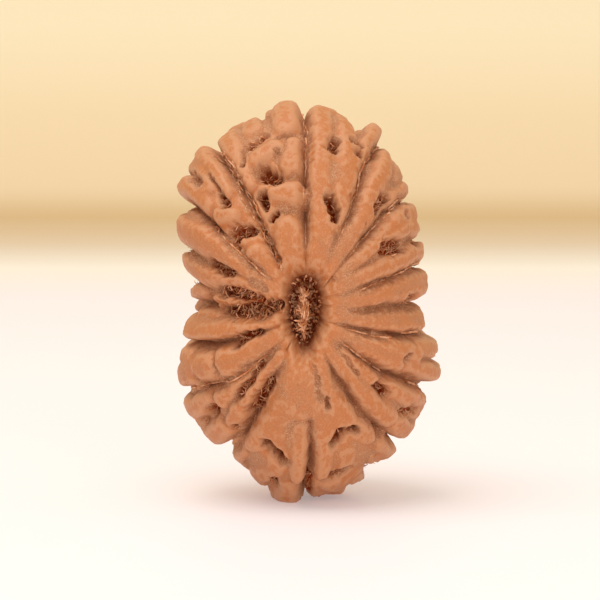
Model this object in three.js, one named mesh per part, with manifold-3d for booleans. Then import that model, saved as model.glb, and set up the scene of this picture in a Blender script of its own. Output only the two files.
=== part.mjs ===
// A rudraksha bead: the ribbed stone of one fruit, standing on its narrow end with a mouth to the front.
// Millimetres, +Z up, +X to the right seen from the front, +Y from the front mouth to the back mouth.
// A place on the skin is a bearing and a latitude. The bearing goes clockwise round the mouth from the top,
// as seen from the front. The latitude is 0 at the front mouth, 90 on the rim and 180 at the back mouth.

import * as THREE from "three";
import { mergeVertices } from "three/addons/utils/BufferGeometryUtils.js";
import Module from "manifold-3d";

// Driving dimensions
const HALF_DEPTH = 9.3; // from the middle to a mouth, over the valley floors
const RIB_HEIGHT = 1.7; // of a full rib over the valley beside it
const FACE_FULLNESS = 2.25; // 2 is an ellipse from mouth to rim, and more is flatter at the mouths
const RIM_DROP = 0.87; // the middle of the rim is this much lower than the mouths
const FOOT_DROP = 16.65; // from the mouths down to the flat spots that the bead stands on
const MOUTHS = {
  front: { halfWidth: 1.5, halfHeight: 3.2, depth: 2.9 },
  back: { halfWidth: 1.3, halfHeight: 2.5, depth: 2.3 },
};
const CHANNEL_RADIUS = 0.65; // the natural string hole

// How far the rib tops on the rim reach from the line between the mouths, at every 22.5 degrees from the top
const OUTLINE = [
  17.7, 15.9, 13.0, 10.8, 10.1, 12.0, 13.3, 14.8, 16.9, 14.2, 13.1, 11.6, 9.8, 10.9, 14.7, 16.7,
];

// Seams between the faces: bearing at the front mouth, on the rim and at the back mouth, the latitude where the
// seam begins, its depth, and how high the face after it fills between its own ribs, as a share of a full rib
const SEAMS = [
  [1, 0, 3, 16, 0.8, 0.85],
  [23, 21.5, 24, 22, 0.6, 0.75],
  [35, 39.5, 42, 22, 0.6, 0.6],
  [66, 65.5, 66, 24, 0.8, 0.6],
  [88, 84, 87, 20, 0.8, 0.6],
  [111, 99.5, 107, 14, 0.8, 0.65],
  [130, 124, 128, 14, 0.8, 0.65],
  [157, 146.5, 148, 18, 0.9, 0.85],
  [176, 180, 176, 38, 0.9, 0.85],
  [205, 206, 201, 18, 0.9, 0.5],
  [220, 235, 228, 18, 0.6, 0.7],
  [244, 255, 249, 16, 0.8, 0.45],
  [271, 277, 272, 14, 0.8, 0.35],
  [300, 298.5, 297, 30, 0.5, 0.7],
  [315, 314.5, 317, 14, 0.7, 0.75],
  [335, 333.5, 338, 12, 0.9, 0.75],
];
const SEAM_HALF_WIDTH = 0.36;

// Ribs of the front half, face by face. Each point is bearing, latitude, half width and share of full height.
const FRONT_RIBS = [
  // right of the top seam
  [
    [14, 13, 0.7, 0.8], [11.5, 24, 0.95, 1.08], [7, 36, 0.8, 1], [5, 48, 0.85, 1], [4.5, 78, 0.95, 1],
    [5, 95, 1, 0.95],
  ],
  [
    [19, 29, 0.5, 0.85], [17, 38, 0.9, 1], [16, 50, 1, 0.95], [15, 60, 0.9, 0.9], [11, 76, 0.8, 1],
    [7.5, 92, 0.65, 0.9],
  ],
  [[18.5, 62, 0.6, 0.8], [19, 76, 0.6, 1], [18.7, 90, 0.7, 1.5]],
  // the next face to the right
  [[27, 16, 0.5, 0.8], [29, 30, 0.85, 0.95], [29.5, 40, 0.8, 1], [28, 48, 0.9, 0.95]],
  [[28, 48, 0.9, 0.95], [27.5, 60, 0.8, 1], [27, 72, 0.8, 1], [25, 84, 0.8, 0.9], [23.5, 92, 0.8, 0.95]],
  [[36, 62, 0.7, 0.85], [36.5, 78, 0.7, 0.95], [37, 92, 0.6, 0.85]],
  [[31.5, 76, 0.7, 0.85], [31.5, 92, 0.8, 0.9]],
  // right side, upper
  [[41, 20, 0.5, 0.8], [42, 30, 0.6, 0.95], [43, 40, 0.65, 1], [43, 50, 0.8, 0.95], [43, 60, 0.9, 0.95]],
  [[43, 60, 0.9, 0.95], [44.5, 76, 0.9, 0.95], [45, 92, 0.8, 0.9]],
  [[46, 43, 0.45, 1], [47.5, 55, 0.5, 1.05], [48.5, 66, 0.6, 1], [51, 80, 0.7, 0.95]],
  [
    [52, 18, 0.55, 0.85], [56, 30, 0.75, 1], [58.5, 44, 0.85, 1], [60, 60, 1, 1.1], [60, 76, 1.1, 1.1],
    [60.5, 94, 1, 0.95],
  ],
  // right side, middle
  [[71, 14, 0.6, 0.75], [74, 28, 0.8, 1], [74.5, 50, 1, 1.05], [74, 72, 1.15, 1.1], [73.5, 94, 1.1, 1.2]],
  [[80, 40, 0.6, 0.85], [80, 56, 0.6, 0.95], [79, 72, 0.6, 1], [77.5, 90, 0.5, 0.95]],
  [
    [93, 14, 0.55, 0.75], [94.5, 28, 0.75, 1], [94, 48, 0.95, 1.05], [93, 70, 1.1, 1.1],
    [91.5, 94, 0.9, 0.9],
  ],
  [[99, 45, 0.5, 0.9], [98, 60, 0.6, 0.95], [96.5, 74, 0.5, 0.85]],
  // right side, lower
  [[122, 13, 0.55, 0.75], [119, 24, 0.85, 1], [118.5, 36, 1.05, 1.05], [118, 46, 1, 1.05]],
  [[110.5, 34, 0.5, 0.9], [110.5, 48, 0.7, 1], [110.5, 60, 0.8, 1]],
  [[107, 64, 0.8, 0.95], [106, 80, 1, 1.1], [105.5, 94, 1, 1.25]],
  [[117, 58, 0.7, 0.85], [116.5, 74, 0.75, 1.05], [115.5, 96, 0.8, 1.35]],
  [[136, 21, 0.45, 0.9], [135.5, 30, 0.55, 1], [136, 37, 0.6, 1]],
  [[148, 14, 0.5, 0.8], [146, 24, 0.6, 1], [146, 38, 0.8, 1], [145, 50, 1, 1], [143, 58, 0.9, 1]],
  [[133, 46, 0.6, 0.95], [131.5, 56, 0.8, 1], [131, 64, 0.7, 1]],
  [[128, 72, 0.7, 0.85], [128.5, 92, 0.8, 1]],
  [[134, 80, 0.6, 0.85], [133.5, 96, 0.7, 1.05]],
  [[142, 68, 0.9, 0.95], [141.5, 82, 0.9, 1.05], [139, 96, 0.8, 1]],
  // lower right plate
  [[165, 13, 0.55, 0.85], [164, 22, 0.7, 1], [161, 31, 0.9, 1.05], [160, 40, 1, 1.05]],
  [[157, 46, 0.8, 0.95], [154, 56, 0.9, 0.95]],
  [[170, 32, 0.9, 1], [171, 43, 0.9, 1], [173, 51, 0.75, 1], [174.5, 58, 0.6, 1.05]],
  [[164, 55, 0.8, 0.95], [166, 60, 0.7, 0.95]],
  [[151, 68, 0.8, 1], [150, 90, 0.8, 1.05]],
  [[156, 72, 0.6, 0.9], [155, 84, 0.6, 0.8]],
  [[164, 78, 0.7, 0.85], [164, 96, 0.8, 1.05]],
  [[172, 66, 0.8, 0.85], [169, 74, 0.9, 0.85], [163, 72, 0.7, 0.8]],
  [[172, 100, 1.1, 1.2], [171, 108, 1.25, 1.3], [170, 124, 1.1, 1]],
  // lower left plate
  [[184, 12, 0.8, 0.95], [183, 19, 1.2, 1.1], [182, 27, 1.5, 1.12]],
  [[182.5, 36, 0.7, 1], [182, 50, 0.7, 1.1], [182.5, 57, 0.6, 1.12]],
  [[191, 31, 0.9, 1], [195, 42, 1.1, 1], [199, 53, 1, 1], [201, 60, 0.7, 1]],
  [[189, 42, 0.9, 0.95], [190, 58, 0.8, 0.9], [193, 72, 0.9, 0.9]],
  [[204, 70, 0.8, 0.95], [204, 90, 0.85, 0.9]],
  [
    [185, 66, 0.7, 0.9], [185, 78, 1, 1.05], [185.5, 90, 1.2, 1.15], [187, 108, 1.2, 1.15],
    [188, 125, 1.1, 1],
  ],
  [[195, 78, 0.9, 0.85], [195, 96, 0.9, 0.85]],
  // left side, lower
  [[209, 18, 0.45, 0.85], [212, 30, 0.6, 1], [213, 42, 0.7, 1.08]],
  [[212.5, 49, 0.75, 1], [212, 57, 0.7, 0.9]],
  [[222, 30, 0.4, 0.85], [223, 42, 0.65, 0.95], [222.5, 52, 0.8, 0.95]],
  [[214, 66, 0.9, 0.95], [214.5, 80, 0.95, 1.05], [215, 95, 0.9, 1.1]],
  [[221, 82, 0.7, 0.9], [221.5, 97, 0.8, 1.05]],
  [[227, 62, 0.7, 0.85], [227, 76, 0.9, 1.05], [229, 94, 1, 1.15]],
  [[232, 14, 0.5, 0.75], [235, 26, 0.9, 1], [236.5, 40, 1.2, 1.05]],
  [[240, 52, 1.1, 1.03], [241, 58, 1, 0.95]],
  [[243, 66, 0.9, 0.9], [242, 80, 1, 1], [242, 94, 0.9, 1.05]],
  [[236, 68, 0.7, 0.95], [236, 78, 0.6, 0.9]],
  [[250, 70, 0.7, 0.85], [250.5, 90, 0.8, 0.9]],
  [
    [256, 14, 0.45, 0.8], [258, 28, 0.65, 1], [259, 46, 0.75, 1], [261, 66, 0.85, 1.05],
    [263, 84, 1, 1.1], [263, 95, 0.9, 1.05],
  ],
  // left side, upper
  [[268, 56, 0.5, 0.6], [269, 70, 0.6, 0.85]],
  [[282, 28, 0.3, 0.45], [280, 42, 0.5, 0.7], [279, 54, 0.6, 0.8]],
  [[283, 66, 0.6, 0.85], [282, 80, 0.6, 0.95], [281.5, 92, 0.5, 0.9]],
  [
    [297, 18, 0.5, 0.85], [296, 30, 0.7, 1], [294, 44, 0.75, 1], [293.5, 58, 1, 1.05],
    [295, 76, 1.05, 1.05], [296, 94, 0.85, 1],
  ],
  [
    [309, 12, 0.5, 0.75], [309.5, 24, 0.75, 0.95], [309, 38, 1, 1], [307, 54, 1.15, 1],
    [306, 74, 1.15, 1], [306, 94, 1.1, 0.9],
  ],
  [[325, 16, 0.5, 0.9], [323.5, 25, 0.8, 1.12]],
  [[325, 41, 0.7, 1.1], [321, 46, 0.7, 0.95]],
  [[319.5, 56, 0.8, 0.9], [320, 72, 0.85, 1], [318.5, 92, 0.9, 1.2]],
  [[325, 60, 0.7, 0.9], [326, 80, 0.7, 1], [325.5, 94, 0.8, 1.15]],
  [[329.5, 50, 0.5, 1], [330, 68, 0.6, 1], [330, 95, 0.8, 1.3]],
  // left of the top seam
  [
    [338.5, 46, 0.5, 1.02], [337.5, 56, 0.8, 0.95], [337.5, 68, 1, 1.05], [337.5, 80, 1, 1],
    [339, 94, 1, 0.95],
  ],
  [[344, 54, 0.8, 0.95], [350, 56, 0.8, 0.95]],
  [[345, 75, 0.9, 0.85], [345, 92, 0.9, 0.9]],
  [[355, 67, 1, 0.95], [355, 78, 1.1, 1.1], [355.8, 95, 0.95, 1.2]],
  [[355, 46, 0.85, 1], [356.5, 56, 0.6, 1]],
  [[355.5, 35.5, 1, 1.1], [348, 37.5, 0.8, 1.1]],
  [[343, 13, 0.8, 0.95], [348, 19, 1.05, 1.1], [350, 25, 1, 1.1]],
];

// Pits and grooves of the front half. Each point is bearing, latitude and half width. The bottom is how high it
// lies over the valley floor.
const FRONT_PITS = [
  { points: [[9, 56, 0.3], [9.2, 61, 0.32]], bottom: 0.1 },
  { points: [[14, 84, 0.22], [14, 108, 0.34]], bottom: 0.8 },
  { points: [[11, 36.5, 0.28], [14, 34, 0.35], [16.5, 31, 0.22]], bottom: -0.2 },
  { points: [[14.5, 66, 0.22], [17, 68, 0.25]], bottom: 0.5 },
  { points: [[17.5, 62, 0.25], [18, 64, 0.25]], bottom: 0.6 },
  { points: [[33, 50, 0.32], [32.2, 56, 0.36], [33.5, 60, 0.25]], bottom: 0.1 },
  { points: [[43, 66, 0.18], [44, 69, 0.2]], bottom: 0.7 },
  { points: [[48.5, 46, 0.45], [51, 51, 0.55], [52.5, 57, 0.4]], bottom: 0.3 },
  { points: [[55, 70, 0.22], [54, 92, 0.36], [54, 108, 0.42]], bottom: 0 },
  { points: [[81.5, 61, 0.25], [81, 70, 0.35]], bottom: 0.2 },
  { points: [[114, 53, 0.25], [115.5, 52, 0.3]], bottom: 0.7 },
  { points: [[111, 82, 0.28], [110.5, 97, 0.38], [110.5, 108, 0.38]], bottom: 0 },
  { points: [[99.5, 82, 0.25], [99, 108, 0.36]], bottom: 0 },
  { points: [[139.5, 20, 0.12], [140.5, 30, 0.15]], bottom: 1.2 },
  { points: [[136.5, 41, 0.28], [136, 47, 0.32]], bottom: 0.1 },
  { points: [[137.5, 64, 0.2], [136, 72, 0.25], [133, 80, 0.2]], bottom: 0.5 },
  { points: [[166.5, 28, 0.14], [167, 31, 0.16]], bottom: 1.1 },
  { points: [[168, 46, 0.3], [163.5, 44.5, 0.32], [160, 46, 0.34], [158, 48, 0.26]], bottom: -0.1 },
  { points: [[171.5, 15, 0.13], [170.5, 27, 0.15]], bottom: 1.35 },
  { points: [[176.5, 59, 0.25], [172, 61.5, 0.32], [166, 62.5, 0.35]], bottom: 0.2 },
  { points: [[158, 78, 0.28], [159, 98, 0.44], [159, 110, 0.44]], bottom: 0.4 },
  { points: [[167, 88, 0.9], [175, 88, 0.9]], bottom: 0.55 },
  { points: [[179, 62, 0.25], [178.5, 76, 0.3]], bottom: 0.1 },
  { points: [[189.5, 66, 0.25], [190, 74, 0.3]], bottom: 0.4 },
  { points: [[195, 51.5, 0.4], [191, 51.5, 0.42], [187.5, 53, 0.28]], bottom: -0.3 },
  { points: [[206, 30, 0.34], [206.5, 45, 0.38]], bottom: -0.3 },
  { points: [[219, 25, 0.16], [217.5, 35, 0.2], [217, 44, 0.24]], bottom: 0.55 },
  { points: [[222, 62, 0.35], [221, 66, 0.4]], bottom: 0.1 },
  { points: [[210, 58, 0.22], [209.5, 60, 0.25]], bottom: 0.6 },
  { points: [[231, 46.5, 0.14], [244, 46, 0.14]], bottom: 1.2 },
  { points: [[247, 22, 0.25], [246.5, 34, 0.3]], bottom: 0 },
  { points: [[287, 15, 0.4], [274, 24, 0.6], [271, 40, 0.5], [271, 50, 0.3]], bottom: -1.1 },
  { points: [[288, 24, 0.4], [288, 36, 0.5], [286, 48, 0.4]], bottom: -0.4 },
  { points: [[287.5, 76, 0.25], [286.5, 95, 0.4], [286.5, 108, 0.4]], bottom: 0.1 },
  { points: [[303.5, 19, 0.24], [303, 25, 0.3]], bottom: 1.1 },
  { points: [[300, 84, 0.24], [300, 108, 0.34]], bottom: 0.3 },
  { points: [[299.5, 38, 0.28], [300, 50, 0.34]], bottom: 0.1 },
  { points: [[315.5, 33, 0.22], [315.5, 37, 0.22]], bottom: 0.6 },
  { points: [[319, 37, 0.42], [322, 37, 0.4], [328, 32.5, 0.42]], bottom: -0.3 },
  { points: [[325.5, 47, 0.25], [326.5, 52, 0.22]], bottom: 0.2 },
  { points: [[323.2, 66, 0.22], [323, 76, 0.3]], bottom: 0.8 },
  { points: [[327.5, 54, 0.12], [327, 64, 0.15]], bottom: 0.9 },
  { points: [[335, 18, 0.18], [334, 30, 0.22]], bottom: 0.4 },
  { points: [[345, 47, 0.55], [348.5, 43, 0.45]], bottom: -0.4 },
  { points: [[341, 40, 0.3], [341.5, 36, 0.25]], bottom: -0.4 },
  { points: [[342, 30.5, 0.2], [345.5, 31.5, 0.2]], bottom: 0.4 },
  { points: [[343, 63, 0.36], [347, 66, 0.42]], bottom: 0.6 },
  { points: [[350.7, 43, 0.12], [350.7, 54, 0.14]], bottom: 1.05 },
  { points: [[349, 84, 0.22], [348, 108, 0.36]], bottom: 0.9 },
  { points: [[346, 30.5, 0.14], [358, 30, 0.14]], bottom: 1.0 },
  { points: [[351, 41.5, 0.14], [358, 42, 0.14]], bottom: 1.0 },
  { points: [[351.5, 61, 0.16], [358, 60, 0.16]], bottom: 0.9 },
  { points: [[339, 55, 0.1], [341, 62, 0.14]], bottom: 0.8 },
];

const FINEST_PIT = 0.22; // half width: this mesh is too coarse for narrower ones

// Ribs of the back half are drawn by a rule between each two seams, with knobs at these latitudes
const WIDE_FACE = 19; // degrees on the rim: a wider face has two ribs
const BACK_KNOBS = [167, 157, 147, 137, 128, 119, 110, 100];
const BACK_RIB_HALF_WIDTH = 1.3; // at most
const BACK_PIT = { halfWidth: 0.4, bottom: -0.3 };

// Mesh of the skin
const COLUMNS_PER_FACE = 10;
const OPEN_ROW_STEP = 5; // degrees of latitude
const OPEN_ROWS_FROM = 15; // nearer to a mouth the rows are the next ones, with fewer columns each
const MOUTH_ROWS = [
  { latitude: 12, columnsPerFace: 5 },
  { latitude: 9.5, columnsPerFace: 5 },
  { latitude: 7, columnsPerFace: 5 },
  { latitude: 4, columnsPerFace: 2.5 },
];

const TURN = 360;
const radians = THREE.MathUtils.degToRad;
const smooth = THREE.MathUtils.smoothstep;
const mix = THREE.MathUtils.lerp;

// The same draw from 0 to 1 for the same whole number
function draw(n) {
  const value = Math.sin(n * 12.9898 + 4.1) * 43758.5453;
  return value - Math.floor(value);
}

// A slow roll from -1 to 1 through space, with bumps about `size` mm across
function roll(point, size) {
  const x = point.x / size;
  const y = point.y / size;
  const z = point.z / size;
  const a = Math.sin(2.1 * x + 1.3 * y + 0.4 * z + 0.7);
  const b = Math.sin(-0.8 * x + 2.3 * y + 1.1 * z + 2.9);
  const c = Math.sin(0.6 * x - 1.2 * y + 2.2 * z + 4.2);
  return (a + b + c + a * b * c) / 4;
}

// How far the valley floor on the rim reaches at a bearing: a smooth closed curve inside the outline
function valleyReach(bearing) {
  const count = OUTLINE.length;
  const place = ((bearing / TURN) * count + count) % count;
  const i = Math.floor(place);
  const t = place - i;
  const [p, q, r, s] = [-1, 0, 1, 2].map((step) => OUTLINE[(i + step + count) % count]);
  const curve = q + 0.5 * t * (r - p + t * (2 * p - 5 * q + 4 * r - s + t * (3 * (q - r) + s - p)));
  return curve - RIB_HEIGHT;
}

// A point of the valley floor
function floorPoint(bearing, latitude) {
  const b = radians(bearing);
  const out = Math.sin(radians(latitude));
  const reach = valleyReach(bearing) * out;
  const depth = Math.pow(Math.max(1 - Math.pow(out, FACE_FULLNESS), 0), 1 / FACE_FULLNESS);
  const drop = RIM_DROP * (1 - depth);
  const y = (latitude < 90 ? -depth : depth) * HALF_DEPTH;
  return new THREE.Vector3(reach * Math.sin(b), y, reach * Math.cos(b) - drop);
}

// The way that the skin grows from a point of the floor
function outward(floor) {
  return new THREE.Vector3(floor.x / 11 ** 2, floor.y / 10 ** 2, floor.z / 16 ** 2).normalize();
}

// A line over the valley floor through points of [bearing, latitude, ...values], as short straight steps
function floorLine(points, steps) {
  const line = [];
  for (let i = 0; i + 1 < points.length; i++) {
    for (let s = 0; s < steps; s++) {
      line.push(points[i].map((value, k) => mix(value, points[i + 1][k], s / steps)));
    }
  }
  line.push(points.at(-1));
  const stops = line.map(([bearing, latitude, ...values]) => ({ at: floorPoint(bearing, latitude), values }));
  const ball = new THREE.Sphere().setFromPoints(stops.map((stop) => stop.at));
  return { stops, ball };
}

// How far a point is from a line, and the line's values where it is nearest, for points within `limit` of it
function nearest(point, line, limit) {
  const best = { distance: Infinity, values: [] };
  if (line.ball.distanceToPoint(point) > limit) {
    return best;
  }
  const span = new THREE.Vector3();
  const gap = new THREE.Vector3();
  for (let i = 0; i + 1 < line.stops.length; i++) {
    const from = line.stops[i];
    const to = line.stops[i + 1];
    span.subVectors(to.at, from.at);
    gap.subVectors(point, from.at);
    const t = THREE.MathUtils.clamp(gap.dot(span) / span.lengthSq(), 0, 1);
    const distance = gap.addScaledVector(span, -t).length();
    if (distance < best.distance) {
      best.distance = distance;
      best.values = from.values.map((value, k) => mix(value, to.values[k], t));
    }
  }
  return best;
}

// The bearing of a seam at a latitude, with a little sway on its way over the rim
function seamBearing(seam, latitude) {
  const [front, rim, back] = SEAMS[seam % SEAMS.length];
  const fromMouth = Math.min(latitude, 180 - latitude);
  const sway = 0.8 * Math.sin(latitude * 0.11 + front) * smooth(fromMouth, 10, 40);
  const turns = seam < SEAMS.length ? 0 : TURN;
  return mix(latitude < 90 ? front : back, rim, smooth(fromMouth, 5, 85)) + sway + turns;
}

// Ribs between two seams of the back half: one, or two in a wide face
function backRibs(face) {
  const width = seamBearing(face + 1, 90) - seamBearing(face, 90);
  const count = width > WIDE_FACE ? 2 : 1;
  const made = [];
  for (let i = 0; i < count; i++) {
    const n = face * 7 + i * 3 + 1;
    const room = (radians(width) * valleyReach(seamBearing(face, 90))) / (2 * count);
    const wide = Math.min(BACK_RIB_HALF_WIDTH, 0.72 * room);
    made.push(
      BACK_KNOBS.map((latitude, k) => {
        const across = (i + 0.5) / count + 0.3 * (draw(n + 13 * k) - 0.5) / count;
        const bearing = mix(seamBearing(face, latitude), seamBearing(face + 1, latitude), across);
        const narrowing = Math.min(1, 0.35 + 1.1 * Math.sin(radians(latitude)));
        const halfWidth = wide * narrowing * (0.8 + 0.4 * draw(n + 17 * k + 1));
        return [bearing, latitude, halfWidth, 0.8 + 0.35 * draw(n + 19 * k + 2)];
      }),
    );
  }
  return made;
}

// A pit of the back half, beside its face's rib
function backPit(face) {
  const latitude = 112 + 40 * draw(face + 3);
  const bearing = mix(seamBearing(face, latitude), seamBearing(face + 1, latitude), 0.2 + 0.6 * draw(face));
  const { halfWidth, bottom } = BACK_PIT;
  return { points: [[bearing, latitude, halfWidth], [bearing + 2, latitude + 5, halfWidth]], bottom };
}

const ribs = [...FRONT_RIBS, ...SEAMS.flatMap((_, face) => backRibs(face))]
  .map((points) => floorLine(points, 4));
const pits = [...FRONT_PITS, ...SEAMS.map((_, face) => backPit(face))]
  .filter(({ points }) => points.some(([, , halfWidth]) => halfWidth > FINEST_PIT))
  .map(({ points, bottom }) => ({ line: floorLine(points, 3), bottom }));
const seams = SEAMS.map((_, seam) => {
  const points = [];
  for (let latitude = 10; latitude <= 170; latitude += 5) {
    points.push([seamBearing(seam, latitude), latitude, latitude]);
  }
  return floorLine(points, 1);
});

// A rib's section: a flat crest with round shoulders, and steep sides down to 0 a little outside
function ribSection(distance, halfWidth) {
  const out = Math.min(distance / (1.35 * halfWidth), 1);
  return 1 - out ** 4;
}

// How high the ribs and the plate that fills between them stand, as a share of a full rib
function ribShare(floor, plate) {
  let sum = plate ** 6;
  for (const rib of ribs) {
    const { distance, values } = nearest(floor, rib, 2.4);
    if (distance < 2.4) {
      sum += (values[1] * ribSection(distance, values[0])) ** 6;
    }
  }
  return sum ** (1 / 6);
}

// How deep the seams cut at a point of the floor
function seamCut(floor) {
  let cut = 0;
  seams.forEach((line, seam) => {
    const [, , , start, depth] = SEAMS[seam];
    const { distance, values } = nearest(floor, line, 1.3);
    if (distance < 1.3) {
      const begun = smooth(Math.min(values[0], 180 - values[0]), start, start + 14);
      cut += depth * begun * Math.exp(-((distance / SEAM_HALF_WIDTH) ** 2));
    }
  });
  return cut;
}

// Height of the skin outside the mouths over the valley floor
function skinHeight(floor, fromMouth, plate) {
  const rib = ribShare(floor, plate);
  const collar = 1 - smooth(fromMouth, 9, 24);
  let height = RIB_HEIGHT * mix(rib, 0.5 + 0.4 * rib, collar) + 0.08 * roll(floor, 2.2) - seamCut(floor);
  for (const pit of pits) {
    const { distance, values } = nearest(floor, pit.line, 1.3);
    if (distance < 1.3) {
      const inside = 1 / (1 + (distance / (1.15 * values[0])) ** 6);
      height = mix(height, Math.min(height, pit.bottom), inside);
    }
  }
  return height;
}

// How far a point of the face is inside a mouth, from 0 outside to 1 well inside. A mouth is a slot that
// narrows toward its lower end.
function insideMouth(floor, mouth) {
  const along = floor.z / mouth.halfHeight;
  const narrowing = 1 - 0.4 * smooth(-along, 0.1, 1);
  const across = floor.x / (mouth.halfWidth * narrowing);
  return 1 / (1 + (Math.abs(across) ** 3 + Math.abs(along) ** 3) ** 4);
}

// A corner of the skin. Its place counts faces from the top seam, so 2.5 is halfway over the third face.
function skinPoint(place, latitude) {
  const face = Math.floor(place);
  const share = place - face;
  const bearing = mix(seamBearing(face, latitude), seamBearing(face + 1, latitude), share);
  const floor = floorPoint(bearing, latitude);
  const fromMouth = Math.min(latitude, 180 - latitude);
  const lower = (1 - 0.35 * smooth(fromMouth, 58, 86)) * (1 - 0.5 * smooth(latitude, 95, 115));
  const plate = SEAMS[face][5] * (4 * share * (1 - share)) ** 0.3 * lower;
  let height = skinHeight(floor, fromMouth, plate);
  if (fromMouth < 40) {
    const mouth = latitude < 90 ? MOUTHS.front : MOUTHS.back;
    height = mix(height, -mouth.depth, insideMouth(floor, mouth));
  }
  const corner = floor.clone().addScaledVector(outward(floor), height);
  corner.z = Math.max(corner.z, -FOOT_DROP);
  return corner;
}

// The skin: rows of corners round the bead from mouth to mouth, with each column between the same two seams
function skin() {
  const rows = MOUTH_ROWS.toReversed();
  for (let latitude = OPEN_ROWS_FROM; latitude <= 180 - OPEN_ROWS_FROM; latitude += OPEN_ROW_STEP) {
    rows.push({ latitude, columnsPerFace: COLUMNS_PER_FACE });
  }
  rows.push(...MOUTH_ROWS.map((row) => ({ ...row, latitude: 180 - row.latitude })));

  const corners = [skinPoint(0, 0)];
  const faces = [];
  let before = [];
  for (const { latitude, columnsPerFace } of rows) {
    const count = columnsPerFace * SEAMS.length;
    const ring = [];
    for (let k = 0; k < count; k++) {
      ring.push(corners.length);
      corners.push(skinPoint(k / columnsPerFace, latitude));
    }
    faces.push(...band(before, ring));
    before = ring;
  }
  corners.push(skinPoint(0, 180));
  for (let k = 0; k < before.length; k++) {
    faces.push([before[k], before[(k + 1) % before.length], corners.length - 1]);
  }

  const geometry = new THREE.BufferGeometry().setFromPoints(corners);
  geometry.setIndex(faces.flat());
  return geometry;
}

// The triangles between a ring of corners and the next one, which has as many corners, or twice or half as many
function band(before, ring) {
  const faces = [];
  const at = (row, k) => row[k % row.length];
  if (before.length === 0) {
    ring.forEach((corner, k) => faces.push([0, at(ring, k + 1), corner]));
  } else if (before.length === ring.length) {
    ring.forEach((corner, k) => {
      faces.push([before[k], at(before, k + 1), corner], [at(before, k + 1), at(ring, k + 1), corner]);
    });
  } else if (before.length < ring.length) {
    before.forEach((corner, k) => {
      faces.push([corner, ring[2 * k + 1], ring[2 * k]]);
      faces.push([corner, at(before, k + 1), ring[2 * k + 1]]);
      faces.push([at(before, k + 1), at(ring, 2 * k + 2), ring[2 * k + 1]]);
    });
  } else {
    ring.forEach((corner, k) => {
      faces.push([before[2 * k], before[2 * k + 1], corner]);
      faces.push([before[2 * k + 1], at(ring, k + 1), corner]);
      faces.push([before[2 * k + 1], at(before, 2 * k + 2), at(ring, k + 1)]);
    });
  }
  return faces;
}

// The natural channel from mouth to mouth, a little bent, in the lower end of each slot
function channel() {
  const path = new THREE.CatmullRomCurve3([
    new THREE.Vector3(0.5, -HALF_DEPTH - 2, -2.1),
    new THREE.Vector3(0.3, -0.4 * HALF_DEPTH, -1.6),
    new THREE.Vector3(-0.1, 0.3 * HALF_DEPTH, -0.4),
    new THREE.Vector3(-0.2, HALF_DEPTH + 2, 0.3),
  ]);
  const round = new THREE.Shape();
  round.absarc(0, 0, CHANNEL_RADIUS, 0, 2 * Math.PI);
  return new THREE.ExtrudeGeometry(round, { steps: 14, curveSegments: 6, extrudePath: path });
}

// Booleans
const wasm = await Module();
wasm.setup();

function solid(geometry) {
  const bare = geometry.clone();
  bare.deleteAttribute("normal");
  bare.deleteAttribute("uv");
  const merged = mergeVertices(bare, 1e-4);
  return new wasm.Manifold(
    new wasm.Mesh({
      numProp: 3,
      vertProperties: merged.getAttribute("position").array,
      triVerts: new Uint32Array(merged.index.array),
    }),
  );
}

function geometryOf(made) {
  const mesh = made.getMesh();
  const geometry = new THREE.BufferGeometry();
  geometry.setAttribute("position", new THREE.BufferAttribute(mesh.vertProperties, 3));
  geometry.setIndex(new THREE.BufferAttribute(mesh.triVerts, 1));
  geometry.computeVertexNormals();
  return geometry;
}

const nutshell = new THREE.MeshStandardMaterial({ color: 0xb97a52, roughness: 0.62, metalness: 0 });
const bead = new THREE.Mesh(geometryOf(solid(skin()).subtract(solid(channel()))), nutshell);
bead.name = "bead";

// The frame's origin is under the middle of the bead's box, on the surface that it stands on
bead.geometry.computeBoundingBox();
const middle = bead.geometry.boundingBox.getCenter(new THREE.Vector3());
bead.position.set(-middle.x, -middle.y, FOOT_DROP);

const part = new THREE.Group();
part.name = "rudraksha";
part.add(bead);
export default part;
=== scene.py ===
import math

import bmesh
import bpy
import numpy as np
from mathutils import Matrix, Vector, kdtree, noise


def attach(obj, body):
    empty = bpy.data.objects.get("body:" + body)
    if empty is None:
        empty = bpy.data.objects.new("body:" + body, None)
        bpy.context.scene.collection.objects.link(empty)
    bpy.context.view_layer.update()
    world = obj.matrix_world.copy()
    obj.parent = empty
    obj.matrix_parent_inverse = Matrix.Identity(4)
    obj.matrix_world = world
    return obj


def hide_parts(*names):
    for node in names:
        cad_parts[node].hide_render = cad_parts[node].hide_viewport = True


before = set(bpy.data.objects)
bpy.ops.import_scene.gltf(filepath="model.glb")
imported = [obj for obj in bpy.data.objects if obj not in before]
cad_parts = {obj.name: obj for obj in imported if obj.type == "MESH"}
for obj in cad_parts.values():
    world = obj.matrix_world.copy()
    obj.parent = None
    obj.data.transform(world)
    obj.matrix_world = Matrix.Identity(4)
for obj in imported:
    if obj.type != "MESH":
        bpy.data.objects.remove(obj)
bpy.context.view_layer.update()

# The table and the light
# A plain pale sheet that runs back from the bead and rises into a cream backdrop, under one broad soft lamp
# overhead and a weaker one from the front. The camera looks along +Y from a little above the bead.

MM = 0.001
PHOTO_PIXEL = 0.085 * MM  # what a pixel of the 600 x 600 frame covers at the bead
FRAME_WIDTH = 600 * PHOTO_PIXEL
CAMERA_ELEVATION = math.radians(5)
CAMERA_DISTANCE = 260 * MM
CAMERA_TARGET = Vector((-0.77, 0, 16.86)) * MM
SENSOR_WIDTH = 36  # millimetres, as Blender counts it

scene = bpy.context.scene
scene.view_settings.view_transform = "Standard"

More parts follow.
